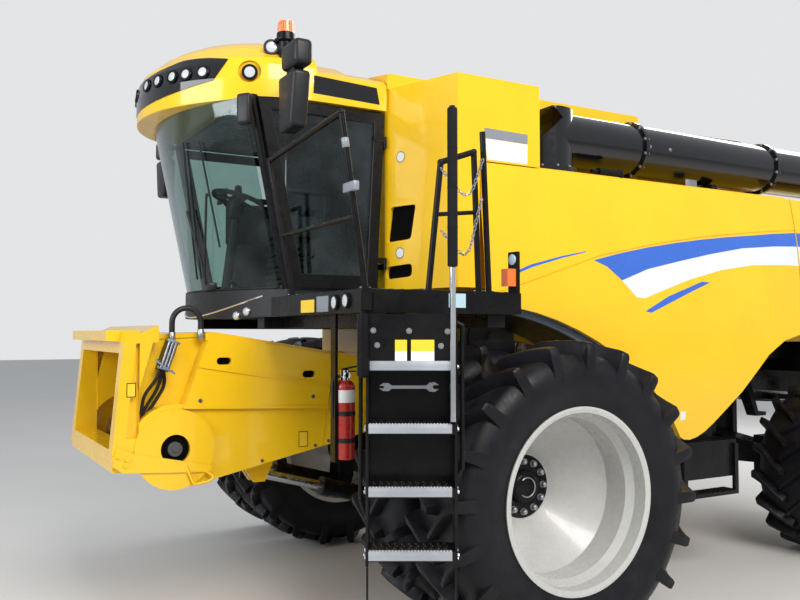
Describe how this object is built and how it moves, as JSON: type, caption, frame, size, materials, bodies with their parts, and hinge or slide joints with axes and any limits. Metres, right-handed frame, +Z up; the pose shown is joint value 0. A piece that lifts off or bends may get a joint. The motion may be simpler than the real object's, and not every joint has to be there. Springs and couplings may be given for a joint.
{
  "type": "combine harvester",
  "caption": "Self-propelled combine harvester with dual front wheels, cab, grain tank, swinging unloading auger, lifting feeder house and swing ladder.",
  "frame": {"origin": "middle of the machine's box on the ground", "axes": "+X points forward, +Y to the left as the operator sits, +Z up. The front axle is at X = 2.25 m and the centre line at Y = -0.105 m"},
  "size_m": [9.37, 4.7149, 4],
  "materials": {
    "yellow_paint": "gloss enamel",
    "black_paint": "semi-gloss enamel",
    "gloss_black": "high gloss enamel",
    "grey_metal": "satin enamel",
    "rim_white": "satin enamel",
    "bare_steel": "bright steel",
    "tyre_rubber": "matt rubber",
    "clear_glass": "tinted glass",
    "dark_plastic": "grained plastic",
    "seat_cloth": "woven cloth",
    "red_paint": "gloss enamel",
    "lamp_lens": "amber lens"
  },
  "bodies": {
    "chassis": {"chassis": "black_paint", "threshing_hull": "yellow_paint", "belt_drives": "grey_metal", "front_axle": "black_paint", "grain_tank": "yellow_paint", "fountain_auger": "bare_steel", "auger_tower": "gloss_black", "auger_saddle": "black_paint", "arch_liners": "dark_plastic", "deck": "yellow_paint", "engine_block": "grey_metal", "engine_hood": "yellow_paint", "exhaust": "bare_steel", "straw_hood": "yellow_paint", "chopper": "black_paint", "tool_box": "black_paint", "rear_axle": "black_paint", "cab_base": "dark_plastic", "cab_frame": "black_paint", "cab_roof": "yellow_paint", "roof_trim": "gloss_black", "roof_lamps": "bare_steel", "cab_glass": "clear_glass", "seat": "seat_cloth", "steering_column": "dark_plastic", "mirrors": "dark_plastic", "beacons": "lamp_lens", "platform": "black_paint", "rails": "black_paint", "extinguisher": "red_paint"},
    "front_wheels_left": {"front_rims_left": "rim_white", "front_tyre_outer_left": "tyre_rubber", "front_tyre_inner_left": "tyre_rubber"},
    "front_wheels_right": {"front_rims_right": "rim_white", "front_tyre_outer_right": "tyre_rubber", "front_tyre_inner_right": "tyre_rubber"},
    "knuckle_left": {"knuckle_left": "black_paint"},
    "knuckle_right": {"knuckle_right": "black_paint"},
    "rear_wheel_left": {"rear_rim_left": "rim_white", "rear_tyre_left": "tyre_rubber"},
    "rear_wheel_right": {"rear_rim_right": "rim_white", "rear_tyre_right": "tyre_rubber"},
    "steering_rod": {"steering_rod": "bare_steel"},
    "feeder": {"feeder_house": "yellow_paint", "feeder_drum": "bare_steel", "feeder_face": "yellow_paint", "feeder_hose": "dark_plastic"},
    "lift_barrels": {"lift_barrels": "black_paint"},
    "lift_rods": {"lift_rods": "bare_steel"},
    "unloading_auger": {"unloading_auger": "gloss_black"},
    "tank_cover_left": {"tank_cover_left": "yellow_paint"},
    "tank_cover_right": {"tank_cover_right": "yellow_paint"},
    "side_panel_left": {"side_panel_left": "yellow_paint"},
    "side_panel_right": {"side_panel_right": "yellow_paint"},
    "cab_door": {"door_frame": "black_paint", "door_glass": "clear_glass"},
    "ladder": {"ladder": "black_paint"},
    "spreader_left": {"spreader_left": "grey_metal"},
    "spreader_right": {"spreader_right": "grey_metal"},
    "dust_screen": {"dust_screen": "grey_metal"}
  },
  "joints": [
    {"name": "front_wheel_left", "type": "hinge", "parent": "chassis", "child": "front_wheels_left", "pos_m": [2.25, 1.165, 0.95], "axis": [0, 1, 0], "continuous": true},
    {"name": "front_wheel_right", "type": "hinge", "parent": "chassis", "child": "front_wheels_right", "pos_m": [2.25, -1.375, 0.95], "axis": [0, 1, 0], "continuous": true},
    {"name": "steer_left", "type": "hinge", "parent": "chassis", "child": "knuckle_left", "pos_m": [-1.5, 0.695, 0.805], "axis": [0, 0, 1], "range_deg": [-35, 35]},
    {"name": "steer_right", "type": "hinge", "parent": "chassis", "child": "knuckle_right", "pos_m": [-1.5, -0.905, 0.805], "axis": [0, 0, 1], "range_deg": [-35, 35]},
    {"name": "steering_rod_slide", "type": "slide", "parent": "chassis", "child": "steering_rod", "axis": [0, -1, 0], "range_m": [-0.17, 0.17]},
    {"name": "rear_wheel_left", "type": "hinge", "parent": "knuckle_left", "child": "rear_wheel_left", "pos_m": [-1.5, 1.205, 0.745], "axis": [0, 1, 0], "continuous": true},
    {"name": "rear_wheel_right", "type": "hinge", "parent": "knuckle_right", "child": "rear_wheel_right", "pos_m": [-1.5, -1.415, 0.745], "axis": [0, 1, 0], "continuous": true},
    {"name": "feeder_lift", "type": "hinge", "parent": "chassis", "child": "feeder", "pos_m": [2.6, -0.105, 1.57], "axis": [0, -1, 0], "range_deg": [-20, 2]},
    {"name": "lift_barrel_tilt", "type": "hinge", "parent": "chassis", "child": "lift_barrels", "pos_m": [2.55, -0.105, 0.69], "axis": [0, -1, 0], "range_deg": [-17, 2]},
    {"name": "lift_rod_slide", "type": "slide", "parent": "lift_barrels", "child": "lift_rods", "axis": [0.9647, 0, 0.2635], "range_m": [-0.31, 0.035]},
    {"name": "auger_swing", "type": "hinge", "parent": "chassis", "child": "unloading_auger", "pos_m": [1.69, 1.095, 3.11], "axis": [0, 0, -1], "range_deg": [0, 100]},
    {"name": "cover_left_lift", "type": "hinge", "parent": "chassis", "child": "tank_cover_left", "pos_m": [2.25, 0.843, 3.654], "axis": [-1, 0, 0], "range_deg": [0, 80]},
    {"name": "cover_right_lift", "type": "hinge", "parent": "chassis", "child": "tank_cover_right", "pos_m": [2.25, -1.053, 3.654], "axis": [1, 0, 0], "range_deg": [0, 80]},
    {"name": "side_panel_left_lift", "type": "hinge", "parent": "chassis", "child": "side_panel_left", "pos_m": [2.25, 1.395, 3.07], "axis": [1, 0, 0], "range_deg": [0, 60]},
    {"name": "side_panel_right_lift", "type": "hinge", "parent": "chassis", "child": "side_panel_right", "pos_m": [2.25, -1.605, 3.07], "axis": [-1, 0, 0], "range_deg": [0, 60]},
    {"name": "door_swing", "type": "hinge", "parent": "chassis", "child": "cab_door", "pos_m": [2.886, 0.827, 2.8], "axis": [0, 0, 1], "range_deg": [0, 75]},
    {"name": "ladder_swing", "type": "hinge", "parent": "chassis", "child": "ladder", "pos_m": [3.728, 2.127, 1.9], "axis": [0, 0, 1], "range_deg": [-60, 30]},
    {"name": "spreader_left_spin", "type": "hinge", "parent": "chassis", "child": "spreader_left", "pos_m": [-2.83, 0.255, 1.2], "axis": [0, 0, 1], "continuous": true},
    {"name": "spreader_right_spin", "type": "hinge", "parent": "chassis", "child": "spreader_right", "pos_m": [-2.83, -0.465, 1.2], "axis": [0, 0, 1], "continuous": true},
    {"name": "dust_screen_spin", "type": "hinge", "parent": "chassis", "child": "dust_screen", "pos_m": [-0.45, -1.39, 3.24], "axis": [0, 1, 0], "continuous": true}
  ],
  "couplings": [
    {"joint": "steer_right", "follows": "steer_left", "ratio": 1},
    {"joint": "steering_rod_slide", "follows": "steer_left", "m_per_rad": 0.265},
    {"joint": "lift_barrel_tilt", "follows": "feeder_lift", "ratio": 0.82},
    {"joint": "lift_rod_slide", "follows": "feeder_lift", "m_per_rad": 0.86}
  ]
}
